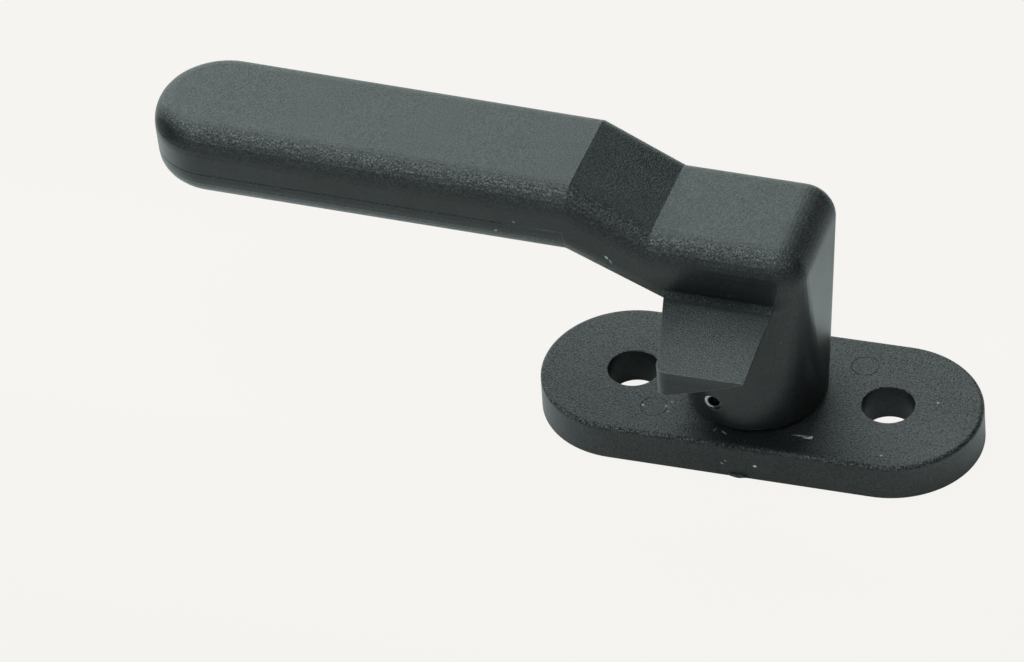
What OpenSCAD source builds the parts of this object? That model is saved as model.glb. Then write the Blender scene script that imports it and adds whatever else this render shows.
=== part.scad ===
// Quarter-turn locking handle: a cranked lever with a ramped locking nose,
// turning on a fixed spindle in a stadium-shaped base plate.
// The origin is on the plate's underside, on the turning axis. +X runs along the plate,
// -Y is the side on which the nose locks, and +Z points away from the mounting surface.

/* [Plate] */
// Length of the base plate over its round ends
plate_l = 86.4; // [82:0.1:100]
// Width of the base plate
plate_w = 35.2; // [33:0.1:40]
// Thickness of the base plate
plate_t = 7.5; // [6:0.1:10]
// Rounding of the plate's upper edge
plate_edge_r = 0.9; // [0.3:0.1:1.5]
// How much the plate's sides lean in from bottom to top
plate_draft = 0.15; // [0:0.05:0.4]
// Distance between the two fixing holes
hole_spacing = 50; // [46:0.5:56]
// Diameter of the fixing holes
hole_d = 10; // [6:0.1:11]
// Rounding of the upper rim of the fixing holes
hole_rim_r = 0.25; // [0.15:0.05:0.8]
// Diameter of the ejector marks on the plate's upper face
mark_d = 5.4; // [4:0.1:6]
// Depth of the ejector marks' outline
mark_depth = 0.12; // [0.05:0.01:0.3]
// Distance of the ejector marks from the plate's middle, along the plate
mark_x = 18.2; // [17:0.1:20]
// Distance of the ejector marks from the plate's middle, across the plate
mark_y = 9.8; // [8.6:0.1:11]

/* [Spindle] */
// Diameter of the spindle's shank
spindle_d = 10; // [9:0.1:11]
// Height of the shank's end above the plate
spindle_rise = 24; // [20:0.5:25]
// Diameter of the spindle's head, sunk in the plate's underside
spindle_head_d = 19; // [16:0.1:22]
// Thickness of the spindle's head
spindle_head_t = 3; // [2:0.1:4]
// Width across the two flats that stop the head from turning
spindle_flats = 15; // [13:0.1:16]
// Chamfer at the top of the shank
spindle_chamfer = 0.8; // [0.3:0.1:1.5]

/* [Hub] */
// Diameter of the hub's round foot
hub_d = 27; // [25.5:0.1:30]
// Distance by which the hub's foot is set off the axis, towards the grip
hub_shift = 0.4; // [0:0.1:1]
// Gap between the hub and the plate
hub_gap = 0.6; // [0.3:0.05:0.8]
// Height above the plate up to which the hub stays round
hub_round_h = 8; // [7:0.5:14]
// Chamfer at the hub's lower edge
hub_chamfer = 0.4; // [0.2:0.1:0.8]
// Outer diameter of the bush in the hub
bush_d = 13; // [12.4:0.1:14]
// Length of the bush
bush_l = 15; // [10:0.5:15]

/* [Pin] */
// Diameter of the slotted spring pin
pin_d = 3.5; // [3:0.1:4]
// Length of the spring pin
pin_l = 25; // [22:0.5:26]
// Distance of the pin's axis from the spindle's axis
pin_offset = 5.1; // [5:0.05:5.4]
// Height of the pin's axis above the plate
pin_z = 5.9; // [5:0.1:6.5]
// Wall of the spring pin
pin_wall = 0.65; // [0.4:0.05:0.8]
// Width of the spring pin's slot
pin_slot = 0.6; // [0.4:0.1:1]

/* [Washers] */
// Diameter of the washers' recess in the hub
recess_d = 18; // [17:0.1:19]
// Thickness of the thrust washer
washer_t = 0.8; // [0.6:0.1:1]
// Height of the wave spring as fitted
wave_h = 1.2; // [1:0.1:1.4]
// Thickness of the wave spring's strip
wave_t = 0.35; // [0.25:0.05:0.5]
// Number of waves round the spring
wave_count = 3; // [3:1:4]

/* [Lever] */
// Width of the lever
lever_w = 26.2; // [24:0.1:28]
// Turn of the lever from its closed stop as it stands, seen from above
rest_turn = -2; // [-4:0.5:0]
// Height of the head's flat top above the plate
head_z = 43.1; // [40:0.1:45]
// Distance from the axis to the head's end face
head_end = 13.4; // [12.8:0.1:14]
// Rounding of the edge between the head's top and its end face
head_end_r = 6; // [6:0.1:7.5]
// Distance from the axis to the crease where the crank starts
crank_start = 16; // [15:0.1:20]
// Distance from the axis to the crease where the grip starts
crank_end = 31.4; // [28:0.1:36]
// Distance by which the crease in the underside lies beyond the one in the top
under_step = 1; // [0.5:0.1:3]
// Height of the grip's flat top above the plate
grip_z = 50.9; // [47:0.1:54]
// Rise of the grip's top from the crank to the tip
grip_rise = 1; // [0:0.1:3]
// Thickness of the grip
grip_t = 15.1; // [12:0.1:15.5]
// Height of the lever's underside above the plate, where it meets the hub
neck_z = 26.4; // [25.5:0.1:28.5]
// Distance from the axis to the grip's round tip
lever_reach = 117.8; // [105:0.5:135]
// Width of the rounding along the lever's upper edges
top_r = 4.2; // [3:0.1:5]
// Height of the rounding along the lever's upper edges
top_h = 5.8; // [4:0.1:6]
// Rounding of the lever's lower edges
low_r = 5; // [3:0.1:5.5]

/* [Nose] */
// Height of the nose's flat top above the plate
nose_z = 31.3; // [30:0.1:33]
// Distance from the axis to the nose's tip
nose_reach = 33.6; // [30:0.1:38]
// Distance of the nose's sharp leading edge from the axis, at the tip
nose_lead = 8.2; // [7:0.1:9]
// Distance of the nose's thick trailing side from the axis, at the tip
nose_trail = 8.8; // [6:0.1:10]
// Distance of the nose's trailing side from the axis, at its root
nose_root = 13.25; // [10:0.05:13.5]
// Lean of the leading edge towards the axis, from tip to root
nose_lean = 0.7; // [0:0.1:2]
// Slant of the nose's tip, from its leading to its trailing side
nose_skew = 0.5; // [0:0.1:2]
// Thickness of the nose at its leading edge
nose_edge_t = 0.3; // [0.2:0.1:1]
// Angle of the ramp under the nose at its leading edge
nose_ramp = 22; // [16:0.5:24]
// Angle to which the ramp flattens at its trailing side
nose_ramp_end = 14; // [10:0.5:15]
// Rounding of the nose's trailing corner in plan
nose_corner_r = 2.6; // [1:0.1:4]
// Rounding of the corner between the nose's top and the lever's side
nose_fillet_r = 1.5; // [1:0.1:3.5]

/* [Grip shells] */
// Height of the joint between the lever and the grip cover above the grip's underside
joint_h = 6.2; // [4.6:0.1:7]
// Wall of the hollow grip
grip_wall = 2.8; // [2.2:0.1:3.5]
// Thickness of the ribs inside the grip
rib_t = 1.8; // [1.2:0.1:2.5]
// Number of cross ribs inside the grip
rib_count = 5; // [3:1:7]
// Number of pegs that hold the grip cover
peg_count = 3; // [2:1:4]
// Diameter of the grip cover's pegs
peg_d = 4; // [3:0.1:5]
// Length of the pegs above the joint
peg_l = 5; // [4:0.1:6]
// Gap all round between the cover's lip and the grip's wall
lip_gap = 0.15; // [0.1:0.05:0.3]
// Height of the cover's lip above the joint
lip_h = 1.5; // [1:0.1:2.5]
// Thickness of the cover's lip
lip_t = 1.3; // [1:0.1:2]
// Thickness of the grip cover's floor
cover_floor = 2.4; // [1.8:0.1:3]
// Distance from the crank's upper crease to the cover's square end
cover_end = 1; // [0.5:0.5:6]
// Visible gap of the joint between the lever and the grip cover
cover_gap = 0.05; // [0.02:0.01:0.2]

/* [Hidden] */

// Clearance of parts that turn on each other, of parts pressed together and of parts laid in
run_gap = 0.05;
seat_gap = 0.02;
loose_gap = 0.1;
// Thickness of a slice that only shapes a blend, the overshoot of a cut and the overlap of a weld
slice = 0.2;
cut = 1;
weld = 0.5;
// Distance of the washers' rims from the wall of their recess
washer_room = 0.4;
// Wall of the sockets round the cover's pegs
socket_wall = 1.8;
// Depth to which the nose reaches into the lever
nose_bury = 4;
// Distance from the lever's side to where the crank's underside meets the hub
neck_inset = 1.6;
// Depth of the spindle's head below the plate's underside
head_sink = 0.2;
// Wall between the pin's hole and the bush
bush_wall = 0.9;
// Turn of the spring pin's slot from the level
slot_turn = 18;

half_w = lever_w / 2;
hub_r = hub_d / 2;
plate_r = plate_w / 2;
spindle_r = spindle_d / 2;
pin_r = pin_d / 2;
bush_r = bush_d / 2;

recess_depth = spindle_head_t + head_sink;
hub_low = plate_t + hub_gap;
recess_top = plate_t + washer_t + wave_h + 2 * run_gap;
bush_low = plate_t + pin_z + pin_r + bush_wall;
bore_top = plate_t + spindle_rise + cut;
grip_low = grip_z - grip_t;
joint_level = plate_t + grip_low + joint_h;
tip_x = -(lever_reach - half_w);
tip_z = grip_z + grip_rise;
grip_len = -tip_x - crank_end;
column_x = neck_inset - half_w;
// Slope of the crank's underside, and its heights at the two creases of the top
under_slope = (grip_low - neck_z) / (crank_end + under_step + column_x);
crank_low = neck_z + under_slope * (crank_start + column_x);
under_low = grip_low - under_slope * under_step;
// Height of the grip's top above the crease in the underside
under_top = grip_z + grip_rise * under_step / grip_len;

// Points of an arc in the plane
function arc(cx, cy, r, a0, a1, steps = 8) =
    [for (i = [0 : steps]) let (a = a0 + (a1 - a0) * i / steps) [cx + r * cos(a), cy + r * sin(a)]];

// Quarter of an ellipse in the plane, from its flank to its top
function ellipse_arc(cx, cy, rx, ry, steps = 8) =
    [for (i = [0 : steps]) let (a = 90 * i / steps) [cx + rx * cos(a), cy + ry * sin(a)]];

function mirrored(points) = [for (i = [len(points) - 1 : -1 : 0]) [-points[i][0], points[i][1]]];

// The lever and all that turns with it, as it stands at rest
module at_rest() {
    rotate([0, 0, rest_turn]) children();
}

// Round or stadium-shaped slab with an edge profile, between two centres on the X axis
module edged_slab(spacing, profile) {
    for (side = [-1, 1]) {
        translate([side * spacing / 2, 0, 0]) rotate_extrude($fn = 96) polygon(profile);
    }
    translate([-spacing / 2, 0, 0]) rotate([90, 0, 90])
        linear_extrude(height = spacing) polygon(concat(profile, mirrored(profile)));
}

// Plan of the spindle's head: a disc with two flats
module head_plan(gap) {
    intersection() {
        circle(d = spindle_head_d + 2 * gap, $fn = 96);
        square([spindle_head_d * 2, spindle_flats + 2 * gap], center = true);
    }
}

module base_plate() {
    outline = concat(
        [[0, 0], [plate_r, 0]],
        arc(plate_r - plate_draft - plate_edge_r, plate_t - plate_edge_r, plate_edge_r, 0, 90),
        [[0, plate_t]]);
    color("#2f3433") difference() {
        edged_slab(plate_l - plate_w, outline);
        for (side = [-1, 1]) translate([side * hole_spacing / 2, 0, 0]) {
            translate([0, 0, -cut]) cylinder(d = hole_d, h = plate_t + 2 * cut, $fn = 64);
            translate([0, 0, plate_t]) hole_rim();
        }
        translate([0, 0, -cut]) cylinder(r = spindle_r + seat_gap, h = plate_t + 2 * cut, $fn = 64);
        translate([0, 0, -cut]) linear_extrude(height = recess_depth + cut) head_plan(loose_gap);
        for (side = [-1, 1]) translate([side * mark_x, side * mark_y, plate_t - mark_depth]) ejector_ring();
    }
}

// Cutter that rounds the upper rim of a fixing hole
module hole_rim() {
    rim = hole_d / 2 + hole_rim_r;
    rotate_extrude($fn = 64) polygon(concat(
        [[hole_d / 2 - cut, cut], [hole_d / 2 - cut, -hole_rim_r]],
        arc(rim, -hole_rim_r, hole_rim_r, 180, 90, 4),
        [[rim, cut]]));
}

// Cutter for the outline that an ejector pin leaves
module ejector_ring() {
    line = 0.2;
    rotate_extrude($fn = 48) translate([mark_d / 2 - line, 0]) square([line, cut]);
}

module spindle() {
    band = pin_d + 2 * loose_gap;
    core = pin_offset - pin_r;
    color("#9a9c9e") difference() {
        union() {
            translate([0, 0, recess_depth - spindle_head_t])
                linear_extrude(height = spindle_head_t) head_plan(0);
            rotate_extrude($fn = 96) polygon([
                [0, recess_depth - cut],
                [spindle_r, recess_depth - cut],
                [spindle_r, plate_t + spindle_rise - spindle_chamfer],
                [spindle_r - spindle_chamfer, plate_t + spindle_rise],
                [0, plate_t + spindle_rise]]);
        }
        translate([0, 0, plate_t + pin_z - band / 2]) linear_extrude(height = band) quarter_groove(core);
    }
}

// Plan of the quarter-turn groove: the pin runs in it, and its two flats are the lever's stops
module quarter_groove(core) {
    flat = core - run_gap;
    span = 2 * spindle_d;
    difference() {
        circle(r = spindle_r + cut, $fn = 64);
        circle(r = core - loose_gap, $fn = 64);
        translate([-flat, -span]) square([2 * span, span]);
        translate([0, -span]) square([span, span + flat]);
    }
}

module thrust_washer() {
    color("#c9c4b4") translate([0, 0, plate_t]) difference() {
        cylinder(r = recess_d / 2 - washer_room, h = washer_t, $fn = 96);
        translate([0, 0, -cut]) cylinder(r = spindle_r + loose_gap, h = washer_t + 2 * cut, $fn = 64);
    }
}

// Strip of spring steel whose height waves round the spindle
module wave_spring() {
    steps = 72;
    inner = spindle_r + 2 * loose_gap;
    outer = recess_d / 2 - washer_room - loose_gap;
    swing = (wave_h - wave_t) / 2;
    middle = plate_t + washer_t + run_gap + wave_h / 2;
    points = [for (i = [0 : steps - 1])
        let (a = 360 * i / steps, z = middle + swing * sin(wave_count * a))
        for (corner = [[inner, -1], [outer, -1], [outer, 1], [inner, 1]])
            [corner[0] * cos(a), corner[0] * sin(a), z + corner[1] * wave_t / 2]];
    faces = [for (i = [0 : steps - 1], side = [0 : 3])
        let (next = (i + 1) % steps, turn = (side + 1) % 4)
            [4 * i + side, 4 * next + side, 4 * next + turn, 4 * i + turn]];
    color("#b4b6b8") polyhedron(points = points, faces = faces, convexity = 6);
}

// Edge of the lever's cross-section between two heights, and the whole cross-section
function bar_edge(low, top) = concat(
    arc(half_w - low_r, plate_t + low + low_r, low_r, -90, 0),
    ellipse_arc(half_w - top_r, plate_t + top - top_h, top_r, top_h));

function bar_section(low, top) = concat(bar_edge(low, top), mirrored(bar_edge(low, top)));

// Solid that joins the lever's cross-sections at a list of stations [x, low, top]
module bar_loft(stations) {
    rings = [for (s = stations) [for (p = bar_section(s[1], s[2])) [s[0], p[0], p[1]]]];
    count = len(rings[0]);
    last = (len(rings) - 1) * count;
    sides = [for (k = [0 : len(rings) - 2], i = [0 : count - 1])
        let (a = k * count + i, b = k * count + (i + 1) % count) [a, b, b + count, a + count]];
    polyhedron(
        points = [for (ring = rings) each ring],
        faces = concat([[for (i = [count - 1 : -1 : 0]) i]], sides, [[for (i = [0 : count - 1]) last + i]]),
        convexity = 4);
}

// Rounded roll across the head's end, lying along Y
module end_roll() {
    flank = [for (p = ellipse_arc(half_w - top_r, head_end_r - top_h, top_r, top_h)) [p[1], p[0]]];
    translate([head_end - head_end_r, 0, plate_t + head_z - head_end_r]) rotate([90, 0, 0])
        rotate_extrude($fn = 48) polygon(concat(
            [[0, -half_w]],
            [for (p = flank) [p[0], -p[1]]],
            [for (i = [len(flank) - 1 : -1 : 0]) flank[i]],
            [[0, half_w]]));
}

// Hub that grows from a round foot into the head's squared block
module column() {
    hull() {
        translate([-hub_shift, 0, 0]) rotate_extrude($fn = 96) polygon([
            [0, hub_low],
            [hub_r - hub_chamfer, hub_low],
            [hub_r, hub_low + hub_chamfer],
            [hub_r, plate_t + hub_round_h],
            [0, plate_t + hub_round_h]]);
        end_roll();
        translate([column_x, 0, 0]) rotate([90, 0, 90]) linear_extrude(height = slice)
            polygon(bar_section(neck_z, head_z));
    }
}

// Cranked bar from the hub to the grip
module crank() {
    bar_loft([
        [column_x, neck_z, head_z],
        [-crank_start, crank_low, head_z],
        [-crank_end, under_low, grip_z]]);
}

// Straight part of the grip with its round tip
module grip_body() {
    bar_loft([
        [-crank_end, under_low, grip_z],
        [-crank_end - under_step, grip_low, under_top],
        [tip_x, grip_low, tip_z]]);
    translate([tip_x, 0, 0]) rotate([0, 0, 90]) rotate_extrude(angle = 180, $fn = 96) polygon(concat(
        [[0, plate_t + grip_low]],
        bar_edge(grip_low, tip_z),
        [[0, plate_t + tip_z]]));
}

// Plan of the hollow inside the grip, drawn in by an inset
module hollow_plan(inset) {
    reach = half_w - inset;
    translate([tip_x, 0]) circle(r = reach, $fn = 64);
    translate([tip_x, -reach]) square([grip_len - inset, 2 * reach]);
}

// Height lost along the ramp under the nose, at a place between its leading and trailing side
function ramp_point(t) =
    let (radius = (nose_lead + nose_root) / (sin(nose_ramp) - sin(nose_ramp_end)),
        a = nose_ramp + (nose_ramp_end - nose_ramp) * t)
        [nose_lead - radius * (sin(nose_ramp) - sin(a)),
        plate_t + nose_z - nose_edge_t - radius * (cos(a) - cos(nose_ramp))];

// Plan of the nose, from inside the lever to its tip
module nose_plan() {
    root_y = nose_bury - half_w;
    tip_y = -nose_reach;
    corner = [-nose_trail + nose_corner_r, tip_y - nose_skew + nose_corner_r];
    trail_turn = atan((nose_root - nose_trail) / (nose_reach - half_w));
    polygon(concat(
        [[nose_lead - nose_lean, root_y], [nose_lead, tip_y]],
        arc(corner[0], corner[1], nose_corner_r, -90, -180 - trail_turn),
        [[-nose_root, -half_w], [0, root_y]]));
}

// Ramped locking nose: a wedge that is thin where it starts to ride up and thick behind
module nose() {
    steps = 8;
    intersection() {
        translate([0, nose_bury - half_w, 0]) rotate([90, 0, 0]) linear_extrude(height = nose_reach)
            polygon(concat(
                [[nose_lead, plate_t + nose_z], [-nose_root, plate_t + nose_z]],
                [for (i = [steps : -1 : 0]) ramp_point(i / steps)]));
        linear_extrude(height = plate_t + head_z) nose_plan();
    }
}

// Concave corner between the nose's top and the lever's side
module nose_fillet() {
    intersection() {
        translate([-nose_root, -half_w, plate_t + nose_z]) rotate([90, 0, 90])
            linear_extrude(height = nose_root + nose_lead) difference() {
                translate([-nose_fillet_r, -weld]) square([nose_fillet_r + weld, nose_fillet_r + weld]);
                translate([-nose_fillet_r, nose_fillet_r]) circle(r = nose_fillet_r, $fn = 64);
            }
        linear_extrude(height = plate_t + head_z) nose_plan();
    }
}

// Place of one of a number of things spaced evenly along the grip
function along_grip(i, count) = tip_x + grip_len * (i + 0.5) / count;

// Ribs and peg sockets inside the grip
module grip_ribs() {
    low = joint_level + lip_h + 2 * lip_gap;
    socket_low = joint_level + 2 * loose_gap;
    top = plate_t + grip_z - grip_wall + weld;
    for (i = [0 : rib_count - 1]) translate([along_grip(i, rib_count) - rib_t / 2, cut - half_w, low])
        cube([rib_t, lever_w - 2 * cut, top - low]);
    translate([tip_x - half_w + cut, -rib_t / 2, low])
        cube([grip_len + half_w - cut, rib_t, top - low]);
    for (i = [0 : peg_count - 1]) translate([along_grip(i, peg_count), 0, socket_low])
        cylinder(d = peg_d + 2 * socket_wall, h = top - socket_low, $fn = 48);
}

module lever() {
    color("#3c4241") at_rest() difference() {
        union() {
            column();
            crank();
            difference() {
                grip_body();
                translate([0, 0, plate_t + grip_low - cut])
                    linear_extrude(height = grip_t - grip_wall + cut) hollow_plan(grip_wall);
                translate([0, 0, plate_t + grip_low - cut])
                    linear_extrude(height = joint_h + cut) cover_plan(cover_gap);
            }
            intersection() {
                grip_ribs();
                grip_body();
            }
            nose();
            nose_fillet();
        }
        translate([0, 0, hub_low - cut])
            cylinder(r = bush_r + seat_gap, h = bore_top - hub_low + cut, $fn = 64);
        translate([0, 0, hub_low - cut])
            cylinder(d = recess_d, h = recess_top - hub_low + cut, $fn = 96);
        translate([-pin_offset, 0, plate_t + pin_z]) rotate([90, 0, 0])
            cylinder(r = pin_r + seat_gap, h = 2 * pin_l, center = true, $fn = 48);
        for (i = [0 : peg_count - 1]) translate([along_grip(i, peg_count), 0, joint_level])
            cylinder(r = peg_d / 2 + seat_gap, h = peg_l + 2 * lip_gap, $fn = 48);
    }
}

// Plan of the grip cover, open past the grip's outline and ended square before the crank
module cover_plan(gap) {
    translate([tip_x - 2 * half_w, -2 * half_w])
        square([2 * half_w + grip_len - cover_end + gap, 4 * half_w]);
}

module grip_cover() {
    low = plate_t + grip_low;
    rim = joint_level - cover_gap;
    lip_in = grip_wall + lip_gap;
    color("#383e3d") at_rest() {
        difference() {
            intersection() {
                grip_body();
                translate([0, 0, low - cut]) linear_extrude(height = rim - low + cut) cover_plan(0);
            }
            translate([0, 0, low + cover_floor]) linear_extrude(height = grip_t) hollow_plan(lip_in + lip_t);
        }
        translate([0, 0, rim - weld]) linear_extrude(height = lip_h + weld) difference() {
            hollow_plan(lip_in);
            hollow_plan(lip_in + lip_t);
        }
        for (i = [0 : peg_count - 1]) translate([along_grip(i, peg_count), 0, low + cover_floor - weld])
            cylinder(d = peg_d, h = rim + peg_l - low - cover_floor + weld, $fn = 48);
    }
}

module hub_bush() {
    color("#8d7a52") at_rest() translate([0, 0, bush_low]) difference() {
        cylinder(r = bush_r, h = bush_l, $fn = 96);
        translate([0, 0, -cut]) cylinder(r = spindle_r + run_gap, h = bush_l + 2 * cut, $fn = 96);
    }
}

module spring_pin() {
    color("#b9bbbd") at_rest() translate([-pin_offset, 0, plate_t + pin_z]) rotate([90, 0, 0]) difference() {
        cylinder(r = pin_r, h = pin_l, center = true, $fn = 64);
        cylinder(r = pin_r - pin_wall, h = pin_l + 2 * cut, center = true, $fn = 64);
        rotate([0, 0, slot_turn]) translate([0, -pin_slot / 2, -pin_l]) cube([pin_d, pin_slot, 2 * pin_l]);
    }
}

base_plate();
spindle();
thrust_washer();
wave_spring();
lever();
hub_bush();
spring_pin();
grip_cover();
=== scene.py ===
import math
import bpy
from mathutils import Matrix, Vector


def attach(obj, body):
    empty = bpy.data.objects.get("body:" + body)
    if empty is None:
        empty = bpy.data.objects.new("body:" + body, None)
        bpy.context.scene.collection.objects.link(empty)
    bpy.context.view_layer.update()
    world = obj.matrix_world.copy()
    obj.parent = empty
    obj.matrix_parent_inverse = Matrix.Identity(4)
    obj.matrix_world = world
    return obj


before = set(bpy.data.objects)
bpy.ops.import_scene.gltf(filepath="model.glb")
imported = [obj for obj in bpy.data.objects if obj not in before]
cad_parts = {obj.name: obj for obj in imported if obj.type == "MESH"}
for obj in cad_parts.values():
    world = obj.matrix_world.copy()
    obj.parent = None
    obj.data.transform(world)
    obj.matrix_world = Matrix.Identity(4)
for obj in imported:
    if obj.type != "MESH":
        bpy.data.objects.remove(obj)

# The photograph's width and camera, in pixels, degrees and metres
FRAME_W = 1024
FOCAL_PX = 4087.9
CAMERA_PLACE = Vector((0.16696, -0.55749, 0.52571))
CAMERA_TURN, CAMERA_DROP, CAMERA_ROLL = 21.19, 40.64, -6.0

# Colours, as linear light
FLOOR_SEEN = (0.9216, 0.9047, 0.8714)
# The floor's painted shade further right, seen in reflections
FLOOR_RIGHT = (0.32, 0.32, 0.32)
LIGHT = (0.87, 1.0, 1.0)
PLASTIC = (0.0058, 0.0070, 0.0070)
PLASTIC_PALE = (0.09, 0.103, 0.10)
SCUFFED = (0.54, 0.55, 0.54)
# The dark colour of the painted shade on the pin's end
PAINTED_SHADE_COLOUR = (0.025, 0.025, 0.022)
STEEL = (0.56, 0.57, 0.58)
BRONZE = (0.42, 0.27, 0.12)
ACETAL, ACETAL_PALE = (0.62, 0.58, 0.48), (0.7, 0.67, 0.58)

# Painted light and shade on the paper under the object, as its reflections see it: places along Y in
# metres, and its painted shade there. Further right it fades into another painted shade between two places
# along X
FLOOR_SHADES = [
    (-0.080, 0.42),
    (-0.066, 0.57),
    (-0.038, 0.54),
    (-0.022, 0.88),
    (0.030, 0.90),
    (0.050, 0.66),
]
FLOOR_RIGHT_FROM, FLOOR_RIGHT_TO = 0.04, 0.13
FLOOR_REACH, FLOOR_LEVEL = 6.0, -0.00005

# Share of the floor's own glow where the camera sees it
FLOOR_GLOW = 0.97

# Soft lamps: the direction towards each, its width in degrees and its strength
PANELS = {
    "panel_back": ((-0.56, 0.69, 0.45), 86, 2.7),
    "panel_top": ((-0.30, -0.32, 0.90), 86, 3.0),
    "panel_front": ((-0.25, -0.80, 0.42), 90, 0.36),
}
ROOM_STRENGTH = 0.045

# Radius of sharp edges and of the wear along them, in metres
EDGE_RADIUS = 0.00015
WEAR_RADIUS = 0.0004

# Angle between two faces above which their edge stays sharp, in degrees
SHARP_ANGLE = 26

# Painted shade on the pin's end, darkening its ring from the inside and on one side: place and size
# in millimetres, where it starts and strength
PIN_PAINTED_SHADE = [
    ((-5.53, -12.3, 13.4), (3.5, 3.5, 3.5), 0.6, 1.0),
    ((-4.2, -12.3, 12.2), (1.9, 1.9, 1.9), 0.2, 0.85),
]

# Scuffs: place and size in millimetres, turn in degrees, strength
PLATE_SCUFFS = [
    ((12.9, -12.0, 7.5), (0.75, 0.45, 0.5), (0, 0, 30), 1.0),
    ((12.3, -12.3, 7.5), (1.3, 0.22, 0.5), (0, 0, 0), 0.9),
    ((11.0, -11.9, 7.5), (2.6, 0.25, 0.5), (0, 0, 5), 0.45),
    ((-5.2, -13.7, 7.5), (0.8, 0.2, 0.5), (0, 0, 70), 0.3),
    ((-3.3, -14.1, 7.5), (1.0, 0.2, 0.5), (0, 0, -35), 0.4),
    ((3.4, -17.6, 3.3), (0.5, 0.6, 0.35), (0, 0, 0), 1.0),
    ((-2.4, -17.6, 3.6), (0.35, 0.6, 0.25), (0, 30, 0), 0.5),
    ((-3.0, -17.6, 2.8), (0.55, 0.6, 0.2), (0, 20, 0), 0.4),
    ((-20.4, -9.8, 7.5), (0.6, 0.4, 0.5), (0, 0, 0), 0.4),
    ((-15.9, -9.2, 7.5), (0.5, 0.6, 0.5), (0, 0, 0), 0.35),
    ((-15.2, -7.9, 7.5), (0.4, 0.3, 0.5), (0, 0, 0), 0.35),
    ((-15.2, -10.6, 7.5), (0.35, 0.3, 0.5), (0, 0, 0), 0.3),
    ((34.0, 2.5, 7.5), (0.4, 0.3, 0.5), (0, 0, 0), 0.6),
    ((27.0, -14.0, 7.5), (0.5, 0.3, 0.5), (0, 0, 20), 0.5),
]
LEVER_SCUFFS = [
    ((8.2, -13.2, 30.8), (0.9, 0.8, 0.18), (0, -35, 0), 0.45),
    ((-24.4, -12.3, 45.3), (0.6, 1.2, 0.3), (0, 50, 0), 0.9),
    ((-23.7, -12.3, 44.5), (0.8, 1.2, 0.2), (0, 60, 0), 0.5),
    ((-42.2, -11.6, 50.3), (0.6, 1.2, 0.25), (0, 20, 0), 0.35),
    ((-45.9, -11.5, 47.5), (0.5, 1.2, 0.3), (0, 0, 0), 0.5),
]

# Painted shade and painted light: places that shine less, given as the scuffs are, or more where the
# strength is negative. On the plate they are painted shade before the hub's foot and a painted highlight
# on the right front
PLATE_SHADES = [
    ((0.0, -14.8, 7.5), (17, 5.5, 2), (0, 0, 0), 0.65),
    ((31.0, -9.0, 7.5), (24, 13, 3), (0, 0, 0), -0.22),
]

# On the lever they are painted shade at the nose's root, twice, and along its leading edge, a painted
# highlight on its top and painted shade on the grip's round end
LEVER_SHADES = [
    ((-3.1, -13.8, 39.5), (30, 1.9, 1.9), (0, 0, -2), 0.75),
    ((-3.1, -13.5, 40.5), (22, 3.5, 4.0), (0, 0, -2), 0.45),
    ((7.15, -23.5, 38.6), (0.45, 16, 0.4), (0, 0, 0), 0.95),
    ((-3.4, -26.0, 38.8), (30, 22, 3.0), (0, 0, -2), -0.27),
    ((-113.0, -5.5, 56.3), (11, 9, 4), (0, 0, 0), 0.9),
]

# The grip's joint line, in millimetres: its height, and where it starts to fade and is gone
GRIP_JOINT = (49.5, -46, -36)


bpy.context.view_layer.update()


# Camera

def camera_axes():
    """The camera's right, up and forward directions."""
    turn, drop, roll = (math.radians(a) for a in (CAMERA_TURN, CAMERA_DROP, CAMERA_ROLL))
    forward = Vector((-math.sin(turn) * math.cos(drop), math.cos(turn) * math.cos(drop), -math.sin(drop)))
    level = Vector((math.cos(turn), math.sin(turn), 0))
    rise = level.cross(forward)
    right = math.cos(roll) * level + math.sin(roll) * rise
    return right, right.cross(forward), forward


def make_camera():
    right, up, forward = camera_axes()
    data = bpy.data.cameras.new("camera")
    data.sensor_width = 36
    data.lens = FOCAL_PX * data.sensor_width / FRAME_W
    data.clip_start, data.clip_end = 0.05, 20
    camera = bpy.data.objects.new("camera", data)
    turn = Matrix((right, up, -forward)).transposed().to_4x4()
    camera.matrix_world = Matrix.Translation(CAMERA_PLACE) @ turn
    bpy.context.scene.collection.objects.link(camera)
    bpy.context.scene.camera = camera


make_camera()


# Materials

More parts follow.
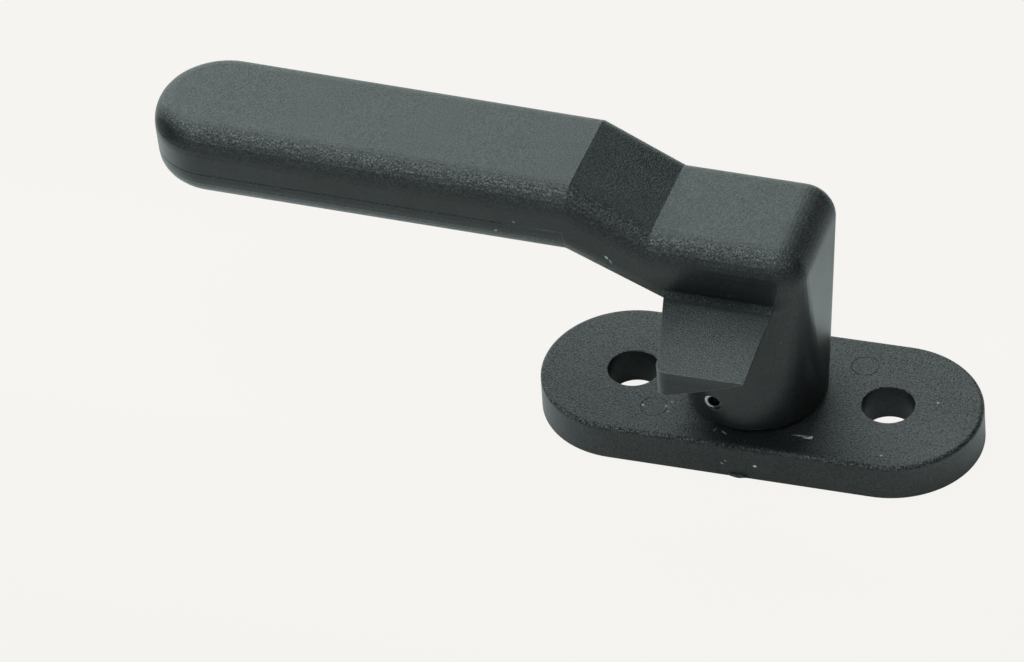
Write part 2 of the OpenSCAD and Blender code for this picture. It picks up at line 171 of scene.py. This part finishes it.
class Nodes:
    """Short calls for the nodes of one material."""

    def __init__(self, name):
        self.material = bpy.data.materials.new(name)
        self.material.use_nodes = True
        self.tree = self.material.node_tree
        self.tree.nodes.clear()
        self.output = self.tree.nodes.new("ShaderNodeOutputMaterial")
        self.place = self.tree.nodes.new("ShaderNodeTexCoord").outputs["Object"]

    def link(self, value, socket):
        """Links a node's output to a socket, or writes a value into it."""
        if isinstance(value, bpy.types.NodeSocket):
            self.tree.links.new(value, socket)
        else:
            socket.default_value = value

    def noise(self, size, detail=2.0, roughness=0.5, stretch=(1, 1, 1)):
        """Noise whose cells measure size in metres, stretched along the axes."""
        scaled = self.tree.nodes.new("ShaderNodeMapping")
        self.link(self.place, scaled.inputs["Vector"])
        scaled.inputs["Scale"].default_value = [1 / (size * s) for s in stretch]
        node = self.tree.nodes.new("ShaderNodeTexNoise")
        self.link(scaled.outputs[0], node.inputs["Vector"])
        for name, value in (("Scale", 1.0), ("Detail", detail), ("Roughness", roughness)):
            node.inputs[name].default_value = value
        return node.outputs["Fac"]

    def steps(self, value, low, high, to_low=0.0, to_high=1.0):
        """Brings a value from one range into another, kept inside it."""
        node = self.tree.nodes.new("ShaderNodeMapRange")
        for name, number in (("Value", value), ("From Min", low), ("From Max", high),
                             ("To Min", to_low), ("To Max", to_high)):
            self.link(number, node.inputs[name])
        return node.outputs["Result"]

    def spread(self, noise, low=0.0, high=1.0):
        """Brings a noise into a range. Most of its own values lie between 0.3 and 0.7."""
        return self.steps(noise, 0.3, 0.7, low, high)

    def math(self, operation, a, b=0.0):
        node = self.tree.nodes.new("ShaderNodeMath")
        node.operation = operation
        self.link(a, node.inputs[0])
        self.link(b, node.inputs[1])
        return node.outputs[0]

    def mix(self, share, a, b):
        """A colour between two colours."""
        node = self.tree.nodes.new("ShaderNodeMix")
        node.data_type = "RGBA"
        self.link(share, node.inputs["Factor"])
        for colour, socket in ((a, node.inputs[6]), (b, node.inputs[7])):
            self.link((*colour, 1) if isinstance(colour, tuple) else colour, socket)
        return node.outputs[2]

    def bump(self, height, depth, below=None):
        """Raises the surface by up to depth in metres, over another normal where one is given."""
        node = self.tree.nodes.new("ShaderNodeBump")
        node.inputs["Strength"].default_value = 1.0
        node.inputs["Distance"].default_value = depth
        self.link(height, node.inputs["Height"])
        if below is not None:
            self.link(below, node.inputs["Normal"])
        return node.outputs[0]

    def edges(self, radius):
        """The normal with edges rounded by a radius."""
        node = self.tree.nodes.new("ShaderNodeBevel")
        node.samples = 6
        node.inputs["Radius"].default_value = radius
        return node.outputs[0]

    def spot(self, place, size, turn=(0, 0, 0)):
        """One at a place, in millimetres, and nothing at the rim of an ellipsoid round it."""
        local = self.tree.nodes.new("ShaderNodeMapping")
        local.vector_type = "TEXTURE"
        self.link(self.place, local.inputs["Vector"])
        local.inputs["Location"].default_value = [v / 1000 for v in place]
        local.inputs["Rotation"].default_value = [math.radians(v) for v in turn]
        local.inputs["Scale"].default_value = [v / 1000 for v in size]
        ball = self.tree.nodes.new("ShaderNodeTexGradient")
        ball.gradient_type = "SPHERICAL"
        self.link(local.outputs[0], ball.inputs["Vector"])
        return ball.outputs["Fac"]

    def along(self, axis):
        """The place's coordinate along an axis."""
        place = self.tree.nodes.new("ShaderNodeSeparateXYZ")
        self.link(self.place, place.inputs[0])
        return place.outputs[axis]

    def normal(self):
        """The surface's own normal."""
        return self.tree.nodes.new("ShaderNodeNewGeometry").outputs["Normal"]

    def facing_up(self, low=0.0, high=0.7, to_low=0.0, to_high=1.0):
        """How much a face looks up or down: to_low up to the share low of it, and to_high from high on."""
        turned = self.tree.nodes.new("ShaderNodeSeparateXYZ")
        self.link(self.normal(), turned.inputs[0])
        return self.steps(self.math("ABSOLUTE", turned.outputs["Z"]), low, high, to_low, to_high)

    def worn_edges(self, radius):
        """How much the surface turns within a radius, for wear along sharp edges."""
        dot = self.tree.nodes.new("ShaderNodeVectorMath")
        dot.operation = "DOT_PRODUCT"
        self.link(self.normal(), dot.inputs[0])
        self.link(self.edges(radius), dot.inputs[1])
        return self.steps(dot.outputs["Value"], 0.99, 0.85)

    def surface(self, colour, roughness, normal, **inputs):
        shader = self.tree.nodes.new("ShaderNodeBsdfPrincipled")
        self.link(colour, shader.inputs["Base Color"])
        self.link(roughness, shader.inputs["Roughness"])
        self.link(normal, shader.inputs["Normal"])
        for name, value in inputs.items():
            self.link(value, shader.inputs[name.replace("_", " ")])
        self.link(shader.outputs[0], self.output.inputs["Surface"])
        return self.material


def plastic_colour(n, grain, cloud, speck_size, scuffs):
    """Black with pale specks, pale worn edges and scuffs."""
    specks = n.noise(speck_size, detail=1)
    share = n.math("ADD", n.spread(cloud, 0.0, 0.03), n.steps(specks, 0.66, 0.8, 0.0, 0.6))
    wear = n.math("MULTIPLY", n.worn_edges(WEAR_RADIUS), n.steps(grain, 0.4, 0.6, 0.1, 0.8))
    colour = n.mix(n.math("MAXIMUM", share, wear), PLASTIC, PLASTIC_PALE)
    scuff = 0.0
    for place, size, turn, strength in scuffs:
        broken = n.math("MULTIPLY", n.spot(place, size, turn), n.steps(grain, 0.35, 0.6, 0.3, 1.0))
        scuff = n.math("MAXIMUM", scuff, n.steps(broken, 0.1, 0.5, 0.0, strength))
    return n.mix(scuff, colour, SCUFFED)


def joint_line(n, level, whole, gone):
    """A thin level line at a height, which fades along X from where it is whole to where it is gone."""
    away = n.math("ABSOLUTE", n.math("SUBTRACT", n.along("Z"), level / 1000))
    across = n.steps(away, 0.0001, 0.0002, 1.0, 0.0)
    return n.math("MULTIPLY", across, n.steps(n.along("X"), whole / 1000, gone / 1000, 0.9, 0.0))


def plastic_shine(n, grain, cloud, top, contrast, sheen, shades, joint):
    """How strongly the plastic reflects: by the grain, with painted glints on tilted faces and a painted
    highlight, a little more reflection, on level ones. Painted shade and painted light change it at their
    places, and the joint line takes it away."""
    swing = n.math("MULTIPLY", n.spread(grain, -contrast, contrast), n.steps(top, 0.0, 1.0, 0.3, 1.0))
    # Painted glints on tilted faces and a painted highlight on level faces
    tilted = n.math("MULTIPLY", top, n.facing_up(0.83, 0.95, 1.0, 0.0))
    sparkle = n.math("MULTIPLY", n.steps(grain, 0.5, 0.7, -0.08, 0.65), tilted)
    level_highlight = n.facing_up(0.95, 0.99, 0.0, 0.04)
    shine = n.spread(cloud, sheen - 0.03, sheen + 0.03)
    for more in (swing, sparkle, level_highlight):
        shine = n.math("ADD", shine, more)
    # Painted shade at each place, or painted light where the strength is negative
    for place, size, turn, strength in shades:
        shade = n.steps(n.spot(place, size, turn), 0.2, 0.7, 1.0, 1.0 - strength)
        shine = n.math("MULTIPLY", shine, shade)
    if joint:
        shine = n.math("MULTIPLY", shine, n.math("SUBTRACT", 1.0, joint_line(n, *joint)))
    return shine


def moulded_plastic(name, grain_size, grain_depth, contrast, sheen, rim, scuffs, shades, joint=None):
    """Black glass-filled nylon, grained on top and smoother on its sides. Seen at a flat angle its top has
    a painted pale sheen, as strong as rim."""
    n = Nodes(name)
    grain = n.noise(grain_size, detail=3, roughness=0.7)
    cloud = n.noise(size=0.012, detail=4, roughness=0.6)
    top = n.facing_up()
    colour = plastic_colour(n, grain, cloud, 0.6 * grain_size, scuffs)
    shine = plastic_shine(n, grain, cloud, top, contrast, sheen, shades, joint)
    roughness = n.math("ADD", n.spread(cloud, 0.34, 0.38), n.math("MULTIPLY", top, 0.06))
    height = n.math("MULTIPLY", grain, n.steps(top, 0.0, 1.0, 0.15, 1.0))
    normal = n.bump(height, grain_depth, below=n.edges(EDGE_RADIUS))
    # The sheen on faces that look up is painted sheen, as strong as rim
    return n.surface(colour, roughness, normal, IOR=1.56, Specular_IOR_Level=shine,
                     Sheen_Weight=n.math("MULTIPLY", top, rim), Sheen_Roughness=0.25)


def metal(name, colour, roughness, painted_shade=()):
    """Bare metal with fine streaks, darkened by painted shade at some places."""
    n = Nodes(name)
    streaks = n.noise(size=0.0002, detail=3, stretch=(1, 1, 12))
    tone = n.mix(n.spread(streaks), tuple(0.8 * c for c in colour), colour)
    # Painted shade darkens the metal at these places
    for place, size, start, strength in painted_shade:
        tone = n.mix(n.steps(n.spot(place, size), start, start + 0.1, 0.0, strength), tone, PAINTED_SHADE_COLOUR)
    rough = n.spread(streaks, roughness, roughness + 0.12)
    return n.surface(tone, rough, n.bump(streaks, depth=0.00001, below=n.edges(EDGE_RADIUS)), Metallic=1.0)


def acetal():
    """Natural acetal, faintly clouded."""
    n = Nodes("acetal")
    cloud = n.noise(size=0.003, detail=3)
    colour = n.mix(n.spread(cloud), ACETAL, ACETAL_PALE)
    return n.surface(colour, 0.35, n.bump(cloud, depth=0.00002))


PLATE_PLASTIC = moulded_plastic(
    "plate_plastic", grain_size=0.00036, grain_depth=0.00018, contrast=0.40, sheen=0.375, rim=0.06,
    scuffs=PLATE_SCUFFS, shades=PLATE_SHADES)
LEVER_PLASTIC = moulded_plastic(
    "lever_plastic", grain_size=0.00035, grain_depth=0.00016, contrast=0.29, sheen=0.50, rim=0.24,
    scuffs=LEVER_SCUFFS, shades=LEVER_SHADES, joint=GRIP_JOINT)

MATERIALS = {
    "base_plate": PLATE_PLASTIC,
    "lever": LEVER_PLASTIC,
    "grip_cover": LEVER_PLASTIC,
    "spindle": metal("turned_steel", STEEL, roughness=0.3),
    "spring_pin": metal("spring_steel", STEEL, roughness=0.22, painted_shade=PIN_PAINTED_SHADE),
    "wave_spring": metal("strip_steel", STEEL, roughness=0.25),
    "hub_bush": metal("bronze", BRONZE, roughness=0.4),
    "thrust_washer": acetal(),
}


def dress(node, material):
    """Gives a CAD node its material and smooth shading between its sharp edges."""
    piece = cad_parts[node]
    data = piece.data
    data.materials.clear()
    data.materials.append(material)
    data.set_sharp_from_angle(angle=math.radians(SHARP_ANGLE))
    data.polygons.foreach_set("use_smooth", [True] * len(data.polygons))
    shading = piece.modifiers.new("flat_faces", "WEIGHTED_NORMAL")
    shading.mode = "FACE_AREA_WITH_ANGLE"
    shading.keep_sharp = True


for node, material in MATERIALS.items():
    dress(node, material)


# Gate vestige at the plate's lower edge

def make_vestige():
    """The flat stub that is left where the plate's gate was cut off."""
    middle = Vector((0.0, -0.0176, 0.0004))
    half = Vector((0.0019, 0.0006, 0.0004))
    around, rows = 24, 8
    ripples, ripple_share = 5, 0.06
    points = []
    for row in range(rows + 1):
        rise = math.pi * (row / rows - 0.5)
        for step in range(around):
            turn = 2 * math.pi * step / around
            ragged = 1 + ripple_share * math.sin(ripples * turn + row)
            out, up = math.cos(rise), math.sin(rise)
            ball = (out * math.cos(turn), out * math.sin(turn), up)
            points.append(middle + Vector(ragged * b * h for b, h in zip(ball, half)))
    faces = [(row * around + step, row * around + (step + 1) % around,
              (row + 1) * around + (step + 1) % around, (row + 1) * around + step)
             for row in range(rows) for step in range(around)]
    mesh = bpy.data.meshes.new("gate_vestige")
    mesh.from_pydata([tuple(p) for p in points], [], faces)
    mesh.polygons.foreach_set("use_smooth", [True] * len(mesh.polygons))
    mesh.materials.append(PLATE_PLASTIC)
    stub = bpy.data.objects.new("gate_vestige", mesh)
    bpy.context.scene.collection.objects.link(stub)
    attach(stub, "base")


make_vestige()


# Floor and light

def floor_material():
    """Pale to the camera, and with painted light and shade where the object reflects it."""
    n = Nodes("floor")
    start, end = FLOOR_SHADES[0][0], FLOOR_SHADES[-1][0]
    ramp = n.tree.nodes.new("ShaderNodeValToRGB")
    n.link(n.steps(n.along("Y"), start, end), ramp.inputs["Fac"])
    for _ in FLOOR_SHADES[2:]:
        ramp.color_ramp.elements.new(0.5)
    for stop, (place, shade) in zip(ramp.color_ramp.elements, FLOOR_SHADES):
        stop.position = (place - start) / (end - start)
        stop.color = (shade, shade, 0.98 * shade, 1)
    to_right = n.steps(n.along("X"), FLOOR_RIGHT_FROM, FLOOR_RIGHT_TO)
    diffuse = n.tree.nodes.new("ShaderNodeBsdfDiffuse")
    n.link(n.mix(to_right, ramp.outputs["Color"], FLOOR_RIGHT), diffuse.inputs["Color"])
    glow = n.tree.nodes.new("ShaderNodeEmission")
    glow.inputs["Color"].default_value = (*FLOOR_SEEN, 1)
    mix = n.tree.nodes.new("ShaderNodeMixShader")
    seen = n.tree.nodes.new("ShaderNodeLightPath").outputs["Is Camera Ray"]
    n.link(n.math("MULTIPLY", seen, FLOOR_GLOW), mix.inputs["Fac"])
    n.link(diffuse.outputs[0], mix.inputs[1])
    n.link(glow.outputs[0], mix.inputs[2])
    n.link(mix.outputs[0], n.output.inputs["Surface"])
    return n.material


def make_floor():
    ends = (-FLOOR_REACH, FLOOR_REACH)
    points = [(ends[0], ends[0], 0), (ends[1], ends[0], 0), (ends[1], ends[1], 0), (ends[0], ends[1], 0)]
    mesh = bpy.data.meshes.new("floor")
    mesh.from_pydata(points, [], [(0, 1, 2, 3)])
    mesh.materials.append(floor_material())
    floor = bpy.data.objects.new("floor", mesh)
    floor.location.z = FLOOR_LEVEL
    bpy.context.scene.collection.objects.link(floor)


def make_panel(name, towards, width, strength):
    """A soft lamp far away in a direction, as wide in degrees as it looks from the object."""
    data = bpy.data.lights.new(name, "SUN")
    data.angle = math.radians(width)
    data.energy = strength
    data.color = LIGHT
    lamp = bpy.data.objects.new(name, data)
    lamp.rotation_euler = Vector(towards).to_track_quat("Z", "Y").to_euler()
    bpy.context.scene.collection.objects.link(lamp)


def make_room():
    """The world: faint light on the object, and the floor's pale colour to the camera."""
    world = bpy.data.worlds.new("studio")
    world.use_nodes = True
    tree = world.node_tree
    tree.nodes.clear()
    mix = tree.nodes.new("ShaderNodeMixShader")
    tree.links.new(tree.nodes.new("ShaderNodeLightPath").outputs["Is Camera Ray"], mix.inputs["Fac"])
    lights = ((LIGHT, ROOM_STRENGTH, mix.inputs[1]), (FLOOR_SEEN, 1.0, mix.inputs[2]))
    for colour, strength, socket in lights:
        background = tree.nodes.new("ShaderNodeBackground")
        background.inputs["Color"].default_value = (*colour, 1)
        background.inputs["Strength"].default_value = strength
        tree.links.new(background.outputs[0], socket)
    tree.links.new(mix.outputs[0], tree.nodes.new("ShaderNodeOutputWorld").inputs["Surface"])
    bpy.context.scene.world = world


make_floor()
make_room()
for name, panel in PANELS.items():
    make_panel(name, *panel)
bpy.context.scene.view_settings.view_transform = "Standard"
